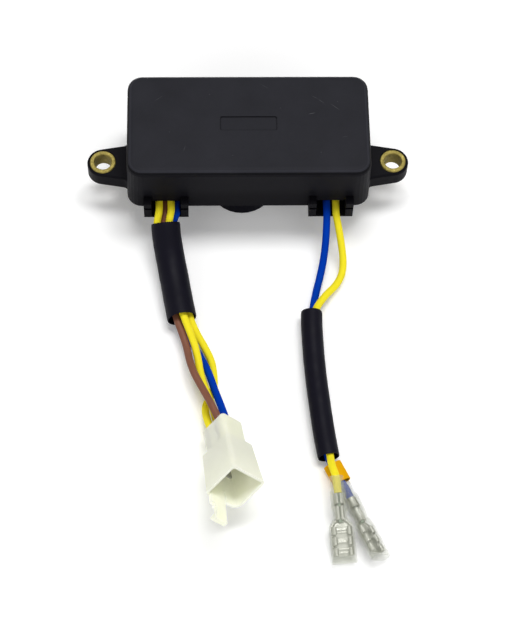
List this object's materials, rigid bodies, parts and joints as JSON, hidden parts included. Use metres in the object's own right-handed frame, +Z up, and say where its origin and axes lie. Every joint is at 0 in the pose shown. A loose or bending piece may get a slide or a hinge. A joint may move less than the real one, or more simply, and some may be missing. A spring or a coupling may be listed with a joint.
{
  "type": "automatic voltage regulator",
  "caption": "Resin-filled voltage regulator for a portable generator: black case with bolt ears, filter capacitor below, leads to a white connector and to push-on terminals.",
  "frame": {"origin": "under the middle of the case, its ears and its wire guides, on the surface that the capacitor's end stands on", "axes": "+Z up through the case's closed top, +X along the case's length to its right ear, -Y to the front where the leads come out"},
  "size_m": [0.1196, 0.1807, 0.0348],
  "materials": {
    "case_black": "moulded black, satin, with fine scratches",
    "brass": "plated, dull yellow",
    "capacitor_sleeve": "shrunk plastic sleeve, black",
    "board": "green laminate",
    "resin": "poured black resin",
    "moulded_black": "moulded part bodies",
    "ceramic_body": "white ceramic and cement",
    "film_red": "dipped red coating",
    "wire_yellow": "smooth wire insulation",
    "wire_brown": "smooth wire insulation",
    "wire_blue": "smooth wire insulation",
    "sleeve_black": "soft black vinyl tube",
    "nylon": "natural nylon, slightly translucent",
    "tin": "tinned strip",
    "clear_vinyl": "clear soft vinyl",
    "marker_orange": "soft orange vinyl tube"
  },
  "bodies": {
    "root": {"case": "case_black", "bushing_left": "brass", "bushing_right": "brass", "main_capacitor": "capacitor_sleeve", "circuit_board": "board", "potting_resin": "resin", "thyristor": "moulded_black", "control_capacitor": "capacitor_sleeve", "control_transistor": "moulded_black", "zener_diode": "moulded_black", "rectifier_diode_1": "moulded_black", "rectifier_diode_2": "moulded_black", "rectifier_diode_3": "moulded_black", "rectifier_diode_4": "moulded_black", "power_resistor_1": "ceramic_body", "power_resistor_2": "ceramic_body", "film_capacitor_1": "film_red", "film_capacitor_2": "film_red", "wire_left_yellow_a": "wire_yellow", "wire_left_brown": "wire_brown", "wire_left_yellow_b": "wire_yellow", "wire_left_blue": "wire_blue", "wire_right_blue": "wire_blue", "wire_right_yellow": "wire_yellow", "sleeve_left": "sleeve_black", "sleeve_right": "sleeve_black", "connector_housing": "nylon", "connector_pin_1": "tin", "connector_pin_2": "tin", "connector_pin_3": "tin", "connector_pin_4": "tin", "terminal_1": "tin", "terminal_2": "tin", "terminal_sleeve_1": "clear_vinyl", "terminal_sleeve_2": "clear_vinyl", "marker_tube": "marker_orange"}
  },
  "joints": []
}
